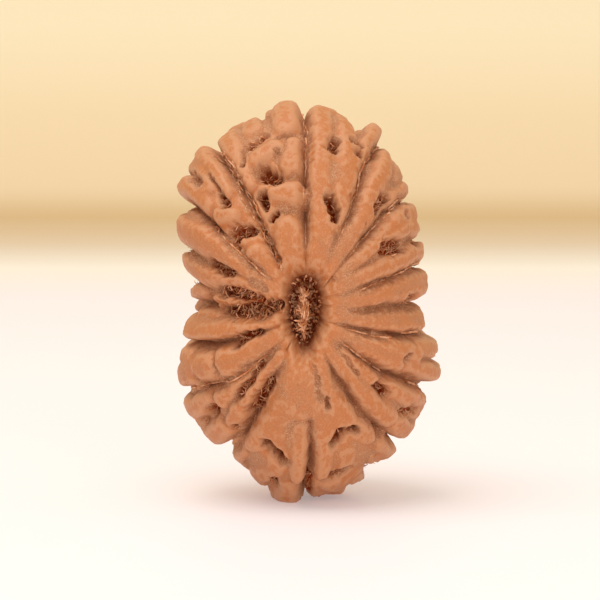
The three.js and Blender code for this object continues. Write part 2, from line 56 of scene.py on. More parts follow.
camera_data = bpy.data.cameras.new("camera")
camera_data.sensor_width = SENSOR_WIDTH
camera_data.lens = SENSOR_WIDTH * CAMERA_DISTANCE / FRAME_WIDTH
camera_data.clip_start = 0.01
camera_data.clip_end = 10
camera = bpy.data.objects.new("camera", camera_data)
scene.collection.objects.link(camera)
back = Vector((0, -math.cos(CAMERA_ELEVATION), math.sin(CAMERA_ELEVATION)))
camera.location = CAMERA_TARGET + back * CAMERA_DISTANCE
camera.rotation_euler = (math.pi / 2 - CAMERA_ELEVATION, 0, 0)
scene.camera = camera

ROOM_COLOUR = (1.0, 0.97, 0.92)
ROOM_LIGHT = 0.60

world = bpy.data.worlds.new("studio")
world.use_nodes = True
room = world.node_tree.nodes["Background"]
room.inputs["Color"].default_value = (*ROOM_COLOUR, 1)
room.inputs["Strength"].default_value = ROOM_LIGHT
scene.world = world

BEAD_MIDDLE = Vector((0, 0, 17)) * MM
LAMP_SIZE = 0.30
LAMP_COLOUR = (1.0, 0.97, 0.93)


def add_lamp(name, place, watts):
    """A square soft lamp that shines on the bead."""
    data = bpy.data.lights.new(name, "AREA")
    data.shape = "SQUARE"
    data.size = LAMP_SIZE
    data.energy = watts
    data.color = LAMP_COLOUR
    lamp = bpy.data.objects.new(name, data)
    lamp.location = place
    lamp.rotation_euler = (BEAD_MIDDLE - Vector(place)).to_track_quat("-Z", "Y").to_euler()
    scene.collection.objects.link(lamp)


add_lamp("softbox", (-0.08, -0.06, 0.36), 0.85)
add_lamp("front_fill", (0.12, -0.42, 0.12), 0.65)

SHEET_WIDTH = 1.6
SHEET_FRONT = -0.45
SHEET_BEND = 0.30  # how far behind the bead the sheet begins to rise
BEND_RADIUS = 0.10
BEND_STEPS = 16
BACKDROP_HEIGHT = 0.7

sheet_bm = bmesh.new()
edge = [sheet_bm.verts.new((x, SHEET_FRONT, 0)) for x in (-SHEET_WIDTH / 2, SHEET_WIDTH / 2)]
sheet_bm.edges.new(edge)
moved = bmesh.ops.extrude_edge_only(sheet_bm, edges=sheet_bm.edges[:])["geom"]
run = [g for g in moved if isinstance(g, bmesh.types.BMVert)]
bmesh.ops.translate(sheet_bm, verts=run, vec=(0, SHEET_BEND - SHEET_FRONT, 0))
last = [e for e in sheet_bm.edges if all(v in run for v in e.verts)]
bmesh.ops.spin(
    sheet_bm,
    geom=last + run,
    cent=(0, SHEET_BEND, BEND_RADIUS),
    axis=(1, 0, 0),
    angle=math.pi / 2,
    steps=BEND_STEPS,
)
top = [v for v in sheet_bm.verts if v.co.z > BEND_RADIUS * 0.999]
rise = [e for e in sheet_bm.edges if all(v in top for v in e.verts)]
moved = bmesh.ops.extrude_edge_only(sheet_bm, edges=rise)["geom"]
top = [g for g in moved if isinstance(g, bmesh.types.BMVert)]
bmesh.ops.translate(sheet_bm, verts=top, vec=(0, 0, BACKDROP_HEIGHT))
bmesh.ops.recalc_face_normals(sheet_bm, faces=sheet_bm.faces[:])
sheet_mesh = bpy.data.meshes.new("paper_sheet")
sheet_bm.to_mesh(sheet_mesh)
sheet_bm.free()
sheet_mesh.shade_smooth()
sheet = bpy.data.objects.new("paper_sheet", sheet_mesh)
scene.collection.objects.link(sheet)

# The darker band from 0.297 to 0.350 is painted shade, where the sheet begins to bend up into the backdrop.
PAPER_COLOURS_AND_SHADE = [  # how far back and up the sheet, in metres, and the colour there
    (0.20, (0.70, 0.65, 0.655)),
    (0.255, (0.72, 0.67, 0.59)),
    (0.297, (0.61, 0.52, 0.41)),
    (0.333, (0.52, 0.36, 0.18)),
    (0.350, (0.66, 0.51, 0.32)),
    (0.385, (0.70, 0.55, 0.34)),
    (0.42, (0.74, 0.62, 0.41)),
]
PAPER_GLOW = 0.375  # stands in for the light of its bright surroundings

paper = bpy.data.materials.new("pale_paper")
paper.use_nodes = True
paper_nodes = paper.node_tree.nodes
paper_links = paper.node_tree.links
paper_shader = paper_nodes["Principled BSDF"]
paper_shader.inputs["Roughness"].default_value = 0.6
paper_place = paper_nodes.new("ShaderNodeTexCoord")
paper_split = paper_nodes.new("ShaderNodeSeparateXYZ")
paper_links.new(paper_place.outputs["Object"], paper_split.inputs[0])
paper_back = paper_nodes.new("ShaderNodeMath")
paper_back.operation = "ADD"
paper_links.new(paper_split.outputs["Y"], paper_back.inputs[0])
paper_links.new(paper_split.outputs["Z"], paper_back.inputs[1])
paper_fade = paper_nodes.new("ShaderNodeValToRGB")
fade = paper_fade.color_ramp
for position, colour in PAPER_COLOURS_AND_SHADE[1:-1]:
    fade.elements.new(position)
fade.elements[0].position = PAPER_COLOURS_AND_SHADE[0][0]
fade.elements[-1].position = PAPER_COLOURS_AND_SHADE[-1][0]
for stop, (position, colour) in zip(fade.elements, PAPER_COLOURS_AND_SHADE):
    stop.color = (*colour, 1)
paper_links.new(paper_back.outputs[0], paper_fade.inputs[0])
paper_links.new(paper_fade.outputs["Color"], paper_shader.inputs["Base Color"])
paper_links.new(paper_fade.outputs["Color"], paper_shader.inputs["Emission Color"])
paper_shader.inputs["Emission Strength"].default_value = PAPER_GLOW
sheet_mesh.materials.append(paper)

# The bead
# One grown fruit stone, hard and woody, whose sixteen faces meet in seams that run from mouth to mouth. Its
# skin is a ball whose points are laid over the valley floors, and raised or sunk by the ribs, seams, pits
# and mouths.

# A place on the skin is a bearing and a latitude. The bearing goes clockwise round the mouth from the top,
# as seen from the front. The latitude is 0 at the front mouth, 90 on the rim and 180 at the back mouth.
# Sizes are millimetres from the middle of the line between the mouths.

HALF_DEPTH = 9.3  # from the middle to a mouth, over the valley floors
RIB_HEIGHT = 1.7  # of a full rib over the valley beside it
FACE_FULLNESS = 2.25  # 2 is an ellipse from mouth to rim, and more is flatter at the mouths
RIM_DROP = 0.87  # the middle of the rim is this much lower than the mouths
FOOT_DROP = 16.65  # from the mouths down to the flat spots that the bead stands on
ROUND_FORM = np.array([11.0, 10.0, 16.0])  # half sizes of the plain oval that the skin grows square to
MOUTHS = {
    "front": {"half_width": 1.5, "half_height": 3.2, "depth": 2.9},
    "back": {"half_width": 1.3, "half_height": 2.5, "depth": 2.3},
}

# How far the rib tops on the rim reach from the line between the mouths, at every 22.5 degrees from the top
OUTLINE = np.array([
    17.7, 15.9, 13.0, 10.8, 10.1, 12.0, 13.3, 14.8, 16.9, 14.2, 13.1, 11.6, 9.8, 10.9, 14.7, 16.7,
])

# Seams between the faces: bearing at the front mouth, on the rim and at the back mouth, the latitude where
# the seam begins, its depth, and how full the face after it is between its own ribs, where a rib's top is 1
SEAMS = [
    (1, 0, 3, 16, 0.8, 0.85), (23, 21.5, 24, 22, 0.6, 0.75), (35, 39.5, 42, 22, 0.6, 0.6),
    (66, 65.5, 66, 24, 0.8, 0.6), (88, 84, 87, 20, 0.8, 0.6), (111, 99.5, 107, 14, 0.8, 0.65),
    (130, 124, 128, 14, 0.8, 0.65), (157, 146.5, 148, 18, 0.9, 0.85), (176, 180, 176, 38, 0.9, 0.85),
    (205, 206, 201, 18, 0.9, 0.5), (220, 235, 228, 18, 0.6, 0.7), (244, 255, 249, 16, 0.8, 0.45),
    (271, 277, 272, 14, 0.8, 0.35), (300, 298.5, 297, 30, 0.5, 0.7), (315, 314.5, 317, 14, 0.7, 0.75),
    (335, 333.5, 338, 12, 0.9, 0.75),
]
SEAM_HALF_WIDTH = 0.36

# Ribs of the front half, face by face. Each point is bearing, latitude, half width and share of full height.
FRONT_RIBS = [
    # right of the top seam
    [(14, 13, 0.7, 0.8), (11.5, 24, 0.95, 1.08), (7, 36, 0.8, 1), (5, 48, 0.85, 1), (4.5, 78, 0.95, 1),
     (5, 95, 1, 0.95)],
    [(19, 29, 0.5, 0.85), (17, 38, 0.9, 1), (16, 50, 1, 0.95), (15, 60, 0.9, 0.9), (11, 76, 0.8, 1),
     (7.5, 92, 0.65, 0.9)],
    [(18.5, 62, 0.6, 0.8), (19, 76, 0.6, 1), (18.7, 90, 0.7, 1.5)],
    # the next face to the right
    [(27, 16, 0.5, 0.8), (29, 30, 0.85, 0.95), (29.5, 40, 0.8, 1), (28, 48, 0.9, 0.95)],
    [(28, 48, 0.9, 0.95), (27.5, 60, 0.8, 1), (27, 72, 0.8, 1), (25, 84, 0.8, 0.9), (23.5, 92, 0.8, 0.95)],
    [(36, 62, 0.7, 0.85), (36.5, 78, 0.7, 0.95), (37, 92, 0.6, 0.85)],
    [(31.5, 76, 0.7, 0.85), (31.5, 92, 0.8, 0.9)],
    # right side, upper
    [(41, 20, 0.5, 0.8), (42, 30, 0.6, 0.95), (43, 40, 0.65, 1), (43, 50, 0.8, 0.95), (43, 60, 0.9, 0.95)],
    [(43, 60, 0.9, 0.95), (44.5, 76, 0.9, 0.95), (45, 92, 0.8, 0.9)],
    [(46, 43, 0.45, 1), (47.5, 55, 0.5, 1.05), (48.5, 66, 0.6, 1), (51, 80, 0.7, 0.95)],
    [(52, 18, 0.55, 0.85), (56, 30, 0.75, 1), (58.5, 44, 0.85, 1), (60, 60, 1, 1.1), (60, 76, 1.1, 1.1),
     (60.5, 94, 1, 0.95)],
    # right side, middle
    [(71, 14, 0.6, 0.75), (74, 28, 0.8, 1), (74.5, 50, 1, 1.05), (74, 72, 1.15, 1.1), (73.5, 94, 1.1, 1.2)],
    [(80, 40, 0.6, 0.85), (80, 56, 0.6, 0.95), (79, 72, 0.6, 1), (77.5, 90, 0.5, 0.95)],
    [(93, 14, 0.55, 0.75), (94.5, 28, 0.75, 1), (94, 48, 0.95, 1.05), (93, 70, 1.1, 1.1),
     (91.5, 94, 0.9, 0.9)],
    [(99, 45, 0.5, 0.9), (98, 60, 0.6, 0.95), (96.5, 74, 0.5, 0.85)],
    # right side, lower
    [(122, 13, 0.55, 0.75), (119, 24, 0.85, 1), (118.5, 36, 1.05, 1.05), (118, 46, 1, 1.05)],
    [(110.5, 34, 0.5, 0.9), (110.5, 48, 0.7, 1), (110.5, 60, 0.8, 1)],
    [(107, 64, 0.8, 0.95), (106, 80, 1, 1.1), (105.5, 94, 1, 1.25)],
    [(117, 58, 0.7, 0.85), (116.5, 74, 0.75, 1.05), (115.5, 96, 0.8, 1.35)],
    [(136, 21, 0.45, 0.9), (135.5, 30, 0.55, 1), (136, 37, 0.6, 1)],
    [(148, 14, 0.5, 0.8), (146, 24, 0.6, 1), (146, 38, 0.8, 1), (145, 50, 1, 1), (143, 58, 0.9, 1)],
    [(133, 46, 0.6, 0.95), (131.5, 56, 0.8, 1), (131, 64, 0.7, 1)],
    [(128, 72, 0.7, 0.85), (128.5, 92, 0.8, 1)],
    [(134, 80, 0.6, 0.85), (133.5, 96, 0.7, 1.05)],
    [(142, 68, 0.9, 0.95), (141.5, 82, 0.9, 1.05), (139, 96, 0.8, 1)],
    # lower right plate
    [(165, 13, 0.55, 0.85), (164, 22, 0.7, 1), (161, 31, 0.9, 1.05), (160, 40, 1, 1.05)],
    [(157, 46, 0.8, 0.95), (154, 56, 0.9, 0.95)],
    [(170, 32, 0.9, 1), (171, 43, 0.9, 1), (173, 51, 0.75, 1), (174.5, 58, 0.6, 1.05)],
    [(164, 55, 0.8, 0.95), (166, 60, 0.7, 0.95)],
    [(151, 68, 0.8, 1), (150, 90, 0.8, 1.05)],
    [(156, 72, 0.6, 0.9), (155, 84, 0.6, 0.8)],
    [(164, 78, 0.7, 0.85), (164, 96, 0.8, 1.05)],
    [(172, 66, 0.8, 0.85), (169, 74, 0.9, 0.85), (163, 72, 0.7, 0.8)],
    [(172, 100, 1.1, 1.2), (171, 108, 1.25, 1.3), (170, 124, 1.1, 1)],
    # lower left plate
    [(184, 12, 0.8, 0.95), (183, 19, 1.2, 1.1), (182, 27, 1.5, 1.12)],
    [(182.5, 36, 0.7, 1), (182, 50, 0.7, 1.1), (182.5, 57, 0.6, 1.12)],
    [(191, 31, 0.9, 1), (195, 42, 1.1, 1), (199, 53, 1, 1), (201, 60, 0.7, 1)],
    [(189, 42, 0.9, 0.95), (190, 58, 0.8, 0.9), (193, 72, 0.9, 0.9)],
    [(204, 70, 0.8, 0.95), (204, 90, 0.85, 0.9)],
    [(185, 66, 0.7, 0.9), (185, 78, 1, 1.05), (185.5, 90, 1.2, 1.15), (187, 108, 1.2, 1.15),
     (188, 125, 1.1, 1)],
    [(195, 78, 0.9, 0.85), (195, 96, 0.9, 0.85)],
    # left side, lower
    [(209, 18, 0.45, 0.85), (212, 30, 0.6, 1), (213, 42, 0.7, 1.08)],
    [(212.5, 49, 0.75, 1), (212, 57, 0.7, 0.9)],
    [(222, 30, 0.4, 0.85), (223, 42, 0.65, 0.95), (222.5, 52, 0.8, 0.95)],
    [(214, 66, 0.9, 0.95), (214.5, 80, 0.95, 1.05), (215, 95, 0.9, 1.1)],
    [(221, 82, 0.7, 0.9), (221.5, 97, 0.8, 1.05)],
    [(227, 62, 0.7, 0.85), (227, 76, 0.9, 1.05), (229, 94, 1, 1.15)],
    [(232, 14, 0.5, 0.75), (235, 26, 0.9, 1), (236.5, 40, 1.2, 1.05)],
    [(240, 52, 1.1, 1.03), (241, 58, 1, 0.95)],
    [(243, 66, 0.9, 0.9), (242, 80, 1, 1), (242, 94, 0.9, 1.05)],
    [(236, 68, 0.7, 0.95), (236, 78, 0.6, 0.9)],
    [(250, 70, 0.7, 0.85), (250.5, 90, 0.8, 0.9)],
    [(256, 14, 0.45, 0.8), (258, 28, 0.65, 1), (259, 46, 0.75, 1), (261, 66, 0.85, 1.05), (263, 84, 1, 1.1),
     (263, 95, 0.9, 1.05)],
    # left side, upper
    [(268, 56, 0.5, 0.6), (269, 70, 0.6, 0.85)],
    [(282, 28, 0.3, 0.45), (280, 42, 0.5, 0.7), (279, 54, 0.6, 0.8)],
    [(283, 66, 0.6, 0.85), (282, 80, 0.6, 0.95), (281.5, 92, 0.5, 0.9)],
    [(297, 18, 0.5, 0.85), (296, 30, 0.7, 1), (294, 44, 0.75, 1), (293.5, 58, 1, 1.05),
     (295, 76, 1.05, 1.05), (296, 94, 0.85, 1)],
    [(309, 12, 0.5, 0.75), (309.5, 24, 0.75, 0.95), (309, 38, 1, 1), (307, 54, 1.15, 1), (306, 74, 1.15, 1),
     (306, 94, 1.1, 0.9)],
    [(325, 16, 0.5, 0.9), (323.5, 25, 0.8, 1.12)],
    [(325, 41, 0.7, 1.1), (321, 46, 0.7, 0.95)],
    [(319.5, 56, 0.8, 0.9), (320, 72, 0.85, 1), (318.5, 92, 0.9, 1.2)],
    [(325, 60, 0.7, 0.9), (326, 80, 0.7, 1), (325.5, 94, 0.8, 1.15)],
    [(329.5, 50, 0.5, 1), (330, 68, 0.6, 1), (330, 95, 0.8, 1.3)],
    # left of the top seam
    [(338.5, 46, 0.5, 1.02), (337.5, 56, 0.8, 0.95), (337.5, 68, 1, 1.05), (337.5, 80, 1, 1),
     (339, 94, 1, 0.95)],
    [(344, 54, 0.8, 0.95), (350, 56, 0.8, 0.95)],
    [(345, 75, 0.9, 0.85), (345, 92, 0.9, 0.9)],
    [(355, 67, 1, 0.95), (355, 78, 1.1, 1.1), (355.8, 95, 0.95, 1.2)],
    [(355, 46, 0.85, 1), (356.5, 56, 0.6, 1)],
    [(355.5, 35.5, 1, 1.1), (348, 37.5, 0.8, 1.1)],
    [(343, 13, 0.8, 0.95), (348, 19, 1.05, 1.1), (350, 25, 1, 1.1)],
]

# Pits and grooves of the front half: points of bearing, latitude and half width, and then how high the
# bottom is over the valley floor
FRONT_PITS = [
    ([(9, 56, 0.3), (9.2, 61, 0.32)], 0.1),
    ([(14, 84, 0.22), (14, 108, 0.34)], 0.8),
    ([(11, 36.5, 0.28), (14, 34, 0.35), (16.5, 31, 0.22)], -0.2),
    ([(14.5, 66, 0.22), (17, 68, 0.25)], 0.5),
    ([(17.5, 62, 0.25), (18, 64, 0.25)], 0.6),
    ([(33, 50, 0.32), (32.2, 56, 0.36), (33.5, 60, 0.25)], 0.1),
    ([(43, 66, 0.18), (44, 69, 0.2)], 0.7),
    ([(48.5, 46, 0.45), (51, 51, 0.55), (52.5, 57, 0.4)], 0.3),
    ([(55, 70, 0.22), (54, 92, 0.36), (54, 108, 0.42)], 0),
    ([(81.5, 61, 0.25), (81, 70, 0.35)], 0.2),
    ([(114, 53, 0.25), (115.5, 52, 0.3)], 0.7),
    ([(111, 82, 0.28), (110.5, 97, 0.38), (110.5, 108, 0.38)], 0),
    ([(99.5, 82, 0.25), (99, 108, 0.36)], 0),
    ([(139.5, 20, 0.12), (140.5, 30, 0.15)], 1.2),
    ([(136.5, 41, 0.28), (136, 47, 0.32)], 0.1),
    ([(137.5, 64, 0.2), (136, 72, 0.25), (133, 80, 0.2)], 0.5),
    ([(166.5, 28, 0.14), (167, 31, 0.16)], 1.1),
    ([(168, 46, 0.3), (163.5, 44.5, 0.32), (160, 46, 0.34), (158, 48, 0.26)], -0.1),
    ([(171.5, 15, 0.13), (170.5, 27, 0.15)], 1.35),
    ([(176.5, 59, 0.25), (172, 61.5, 0.32), (166, 62.5, 0.35)], 0.2),
    ([(158, 78, 0.28), (159, 98, 0.44), (159, 110, 0.44)], 0.4),
    ([(167, 88, 0.9), (175, 88, 0.9)], 0.55),
    ([(179, 62, 0.25), (178.5, 76, 0.3)], 0.1),
    ([(189.5, 66, 0.25), (190, 74, 0.3)], 0.4),
    ([(195, 51.5, 0.4), (191, 51.5, 0.42), (187.5, 53, 0.28)], -0.3),
    ([(206, 30, 0.34), (206.5, 45, 0.38)], -0.3),
    ([(219, 25, 0.16), (217.5, 35, 0.2), (217, 44, 0.24)], 0.55),
    ([(222, 62, 0.35), (221, 66, 0.4)], 0.1),
    ([(210, 58, 0.22), (209.5, 60, 0.25)], 0.6),
    ([(231, 46.5, 0.14), (244, 46, 0.14)], 1.2),
    ([(247, 22, 0.25), (246.5, 34, 0.3)], 0),
    ([(287, 15, 0.4), (274, 24, 0.6), (271, 40, 0.5), (271, 50, 0.3)], -1.1),
    ([(288, 24, 0.4), (288, 36, 0.5), (286, 48, 0.4)], -0.4),
    ([(287.5, 76, 0.25), (286.5, 95, 0.4), (286.5, 108, 0.4)], 0.1),
    ([(303.5, 19, 0.24), (303, 25, 0.3)], 1.1),
    ([(300, 84, 0.24), (300, 108, 0.34)], 0.3),
    ([(299.5, 38, 0.28), (300, 50, 0.34)], 0.1),
    ([(315.5, 33, 0.22), (315.5, 37, 0.22)], 0.6),
    ([(319, 37, 0.42), (322, 37, 0.4), (328, 32.5, 0.42)], -0.3),
    ([(325.5, 47, 0.25), (326.5, 52, 0.22)], 0.2),
    ([(323.2, 66, 0.22), (323, 76, 0.3)], 0.8),
    ([(327.5, 54, 0.12), (327, 64, 0.15)], 0.9),
    ([(335, 18, 0.18), (334, 30, 0.22)], 0.4),
    ([(345, 47, 0.55), (348.5, 43, 0.45)], -0.4),
    ([(341, 40, 0.3), (341.5, 36, 0.25)], -0.4),
    ([(342, 30.5, 0.2), (345.5, 31.5, 0.2)], 0.4),
    ([(343, 63, 0.36), (347, 66, 0.42)], 0.6),
    ([(350.7, 43, 0.12), (350.7, 54, 0.14)], 1.05),
    ([(349, 84, 0.22), (348, 108, 0.36)], 0.9),
    ([(346, 30.5, 0.14), (358, 30, 0.14)], 1.0),
    ([(351, 41.5, 0.14), (358, 42, 0.14)], 1.0),
    ([(351.5, 61, 0.16), (358, 60, 0.16)], 0.9),
    ([(339, 55, 0.1), (341, 62, 0.14)], 0.8),
]

# Ribs of the back half are drawn by a rule between each two seams, with knobs at these latitudes
WIDE_FACE = 19  # degrees on the rim: a wider face has two ribs
BACK_KNOBS = [167, 157, 147, 137, 128, 119, 110, 100]
BACK_RIB_HALF_WIDTH = 1.3  # at most
BACK_PIT_HALF_WIDTH = 0.4
BACK_PIT_BOTTOM = -0.3


def smooth(value, low, high):
    """0 below low, 1 above high and a smooth rise between them."""
    t = np.clip((value - low) / (high - low), 0, 1)
    return t * t * (3 - 2 * t)


def mix(a, b, share):
    return a + (b - a) * share


def draw(n):
    """The same draw from 0 to 1 for the same number."""
    value = math.sin(n * 12.9898 + 4.1) * 43758.5453
    return value - math.floor(value)


def roll(points, size):
    """A slow roll from -1 to 1 through space, with bumps about size mm across."""
    x, y, z = (points / size).T
    a = np.sin(2.1 * x + 1.3 * y + 0.4 * z + 0.7)
    b = np.sin(-0.8 * x + 2.3 * y + 1.1 * z + 2.9)
    c = np.sin(0.6 * x - 1.2 * y + 2.2 * z + 4.2)
    return (a + b + c + a * b * c) / 4


def valley_reach(bearing):
    """How far the valley floor reaches on the rim at a bearing: a smooth closed curve in the outline."""
    count = len(OUTLINE)
    place = np.mod(bearing / 360 * count, count)
    i = np.floor(place).astype(int) % count
    t = place - np.floor(place)
    p, q, r, s = (OUTLINE[(i + step) % count] for step in (-1, 0, 1, 2))
    curve = q + 0.5 * t * (r - p + t * (2 * p - 5 * q + 4 * r - s + t * (3 * (q - r) + s - p)))
    return curve - RIB_HEIGHT


def floor_points(bearing, latitude):
    """Points of the valley floor."""
    b = np.radians(bearing)
    out = np.sin(np.radians(latitude))
    reach = valley_reach(bearing) * out
    depth = np.maximum(1 - out**FACE_FULLNESS, 0) ** (1 / FACE_FULLNESS)
    y = np.where(latitude < 90, -depth, depth) * HALF_DEPTH
    return np.stack([reach * np.sin(b), y, reach * np.cos(b) - RIM_DROP * (1 - depth)], axis=-1)


def outward(floor):
    """The way that the skin grows from points of the floor."""
    way = floor / ROUND_FORM**2
    return way / np.linalg.norm(way, axis=-1, keepdims=True)


def seam_bearing(seam, latitude):
    """The bearing of a seam at a latitude, with a little sway on its way over the rim."""
    front, rim, back = SEAMS[seam % len(SEAMS)][:3]
    latitude = np.asarray(latitude, dtype=float)
    from_mouth = np.minimum(latitude, 180 - latitude)
    sway = 0.8 * np.sin(latitude * 0.11 + front) * smooth(from_mouth, 10, 40)
    turns = 360 * (seam // len(SEAMS))
    return mix(np.where(latitude < 90, front, back), rim, smooth(from_mouth, 5, 85)) + sway + turns


def floor_line(points, steps):
    """A line over the valley floor through points of bearing, latitude and values, in short steps."""
    points = np.array(points, dtype=float)
    stops = [mix(points[i], points[i + 1], s / steps) for i in range(len(points) - 1) for s in range(steps)]
    stops = np.array(stops + [points[-1]])
    return floor_points(stops[:, 0], stops[:, 1]), stops[:, 2:]


def near_line(points, line, limit):
    """Which points are within about limit of a line, how far they are from it and its values there."""
    stops, values = line
    middle = (stops.min(axis=0) + stops.max(axis=0)) / 2
    ball = np.linalg.norm(stops - middle, axis=1).max() + limit
    index = np.nonzero(((points - middle) ** 2).sum(axis=1) < ball**2)[0]
    chosen = points[index]
    distance = np.full(len(index), np.inf)
    found = np.zeros((len(index), values.shape[1]))
    for i in range(len(stops) - 1):
        span = stops[i + 1] - stops[i]
        gap = chosen - stops[i]
        t = np.clip(gap @ span / (span @ span), 0, 1)
        away = np.linalg.norm(gap - t[:, None] * span, axis=1)
        closer = away < distance
        distance[closer] = away[closer]
        found[closer] = mix(values[i], values[i + 1], t[closer, None])
    return index, distance, found


def back_ribs(face):
    """Ribs between two seams of the back half: one, or two in a wide face."""
    width = seam_bearing(face + 1, 90) - seam_bearing(face, 90)
    count = 2 if width > WIDE_FACE else 1
    made = []
    for i in range(count):
        n = face * 7 + i * 3 + 1
        room = math.radians(width) * float(valley_reach(seam_bearing(face, 90))) / (2 * count)
        wide = min(BACK_RIB_HALF_WIDTH, 0.72 * room)
        points = []
        for k, latitude in enumerate(BACK_KNOBS):
            across = (i + 0.5) / count + 0.3 * (draw(n + 13 * k) - 0.5) / count
            bearing = mix(seam_bearing(face, latitude), seam_bearing(face + 1, latitude), across)
            narrowing = min(1, 0.35 + 1.1 * math.sin(math.radians(latitude)))
            half_width = wide * narrowing * (0.8 + 0.4 * draw(n + 17 * k + 1))
            points.append((bearing, latitude, half_width, 0.8 + 0.35 * draw(n + 19 * k + 2)))
        made.append(points)
    return made


def back_pit(face):
    """A pit of the back half, beside its face's rib."""
    latitude = 112 + 40 * draw(face + 3)
    share = 0.2 + 0.6 * draw(face)
    bearing = mix(seam_bearing(face, latitude), seam_bearing(face + 1, latitude), share)
    width = BACK_PIT_HALF_WIDTH
    return [(bearing, latitude, width), (bearing + 2, latitude + 5, width)], BACK_PIT_BOTTOM


def rib_section(distance, half_width):
    """A rib's section: a flat crest with round shoulders, and steep sides down to 0 a little outside."""
    out = np.minimum(distance / (1.35 * half_width), 1)
    return 1 - out**4


drawn_ribs = FRONT_RIBS + [points for face in range(len(SEAMS)) for points in back_ribs(face)]
ribs = [floor_line(points, 4) for points in drawn_ribs]
drawn_pits = FRONT_PITS + [back_pit(face) for face in range(len(SEAMS))]
pits = [(floor_line(points, 3), bottom) for points, bottom in drawn_pits]
seam_latitudes = np.arange(10, 171, 5)
seams = []
for seam in range(len(SEAMS)):
    bearings = seam_bearing(seam, seam_latitudes)
    seams.append(floor_line(np.stack([bearings, seam_latitudes, seam_latitudes], axis=1), 1))

COARSE_COLUMNS = 160
COARSE_ROWS = 60
FINE_CUTS = 5
SKIN_TRIANGLES = 194000

skin_bm = bmesh.new()
bmesh.ops.create_uvsphere(skin_bm, u_segments=COARSE_COLUMNS, v_segments=COARSE_ROWS, radius=1)
bmesh.ops.subdivide_edges(skin_bm, edges=skin_bm.edges[:], cuts=FINE_CUTS, use_grid_fill=True)
bmesh.ops.triangulate(skin_bm, faces=skin_bm.faces[:])
skin_mesh = bpy.data.meshes.new("bead_stone")
skin_bm.to_mesh(skin_mesh)
skin_bm.free()


def vectors(items, name):
    """A vector of each item, as the rows of an array."""
    flat = np.empty(len(items) * 3)
    items.foreach_get(name, flat)
    return flat.reshape(-1, 3)


# the ball's pole is the front mouth, and each face takes the same share of the way round it
ball = vectors(skin_mesh.vertices, "co")
ball /= np.linalg.norm(ball, axis=1, keepdims=True)
latitude = np.degrees(np.arccos(np.clip(ball[:, 2], -1, 1)))
place = np.mod(-np.arctan2(ball[:, 1], ball[:, 0]) / (2 * math.pi) * len(SEAMS), len(SEAMS))
face_of = np.floor(place).astype(int) % len(SEAMS)
bearing = np.zeros(len(ball))
for face in range(len(SEAMS)):
    here = face_of == face
    left, right = seam_bearing(face, latitude[here]), seam_bearing(face + 1, latitude[here])
    bearing[here] = mix(left, right, place[here] - face)

floor = floor_points(bearing, latitude)
from_mouth = np.minimum(latitude, 180 - latitude)

# a warp of the places that the ribs and pits are measured from gives them uneven sides
WARP = 0.14
WARP_BUMPS = 0.75
JAG = 0.17
JAG_BUMPS = 0.38
RIB_REACH = 2.4  # past this distance from its line a rib has no effect
CUT_REACH = 1.3  # nor has a seam or pit past this one

warped = floor + WARP * np.stack([roll(floor + shift, WARP_BUMPS) for shift in (0, 31, 57)], axis=1)
jagged = warped + JAG * np.array([noise.noise_vector(Vector(point) / JAG_BUMPS) for point in floor])

# the ribs and the fuller middles of the faces, which sink toward the rim and again behind it
rib_sum = np.zeros(len(floor))
for rib in ribs:
    index, distance, values = near_line(warped, rib, RIB_REACH)
    rib_sum[index] += (values[:, 1] * rib_section(distance, values[:, 0])) ** 6
share = place - np.floor(place)
plate = np.array([seam[5] for seam in SEAMS])[face_of] * (4 * share * (1 - share)) ** 0.3
plate *= 1 - 0.35 * smooth(from_mouth, 58, 86)
plate *= 1 - 0.5 * smooth(latitude, 95, 115)
relief = (rib_sum + plate**6) ** (1 / 6)
collar = 1 - smooth(from_mouth, 9, 24)
height = RIB_HEIGHT * mix(relief, 0.5 + 0.4 * relief, collar) + 0.08 * roll(floor, 2.2)

in_seam = np.zeros(len(floor))
for line, (_, _, _, start, depth, _) in zip(seams, SEAMS):
    index, distance, values = near_line(jagged, line, CUT_REACH)
    at = values[:, 0]
    begun = smooth(np.minimum(at, 180 - at), start, start + 14)
    inside = begun * np.exp(-((distance / SEAM_HALF_WIDTH) ** 2))
    height[index] -= depth * inside
    in_seam[index] = np.maximum(in_seam[index], inside)

in_pit = np.zeros(len(floor))
for line, bottom in pits:
    index, distance, values = near_line(jagged, line, CUT_REACH)
    inside = 1 / (1 + (distance / (values[:, 0] * 1.15)) ** 6)
    height[index] = mix(height[index], np.minimum(height[index], bottom), inside)
    # the lower a pit's bottom, the more it is painted dark: partly painted shade
    dark = inside * float(1 - smooth(bottom, 0.3, 1.1))
    in_pit[index] = np.maximum(in_pit[index], dark)

in_mouth = np.zeros(len(floor))
for side, mouth in MOUTHS.items():
    here = np.nonzero((latitude < 40) if side == "front" else (latitude > 140))[0]
    along = jagged[here, 2] / mouth["half_height"]
    narrowing = 1 - 0.4 * smooth(-along, 0.1, 1)
    across = jagged[here, 0] / (mouth["half_width"] * narrowing)
    inside = 1 / (1 + (np.abs(across) ** 3 + np.abs(along) ** 3) ** 4)
    height[here] = mix(height[here], -mouth["depth"], inside)
    in_mouth[here] = inside

# the fine unevenness of the woody skin, strongest in the pits, seams and mouths
SMOOTH_SKIN = 0.05
ROUGH_SKIN = 0.26
SKIN_BUMPS = 0.6

way = outward(floor)
rough = mix(SMOOTH_SKIN, ROUGH_SKIN, np.clip(in_pit + in_mouth + 0.5 * in_seam, 0, 1))
raised = floor + way * height[:, None]
fine = np.array([noise.fractal(Vector(point) / SKIN_BUMPS, 0.55, 2.1, 4) for point in raised])
height += rough * fine

skin = floor + way * height[:, None]
skin[:, 2] = np.maximum(skin[:, 2], -FOOT_DROP)

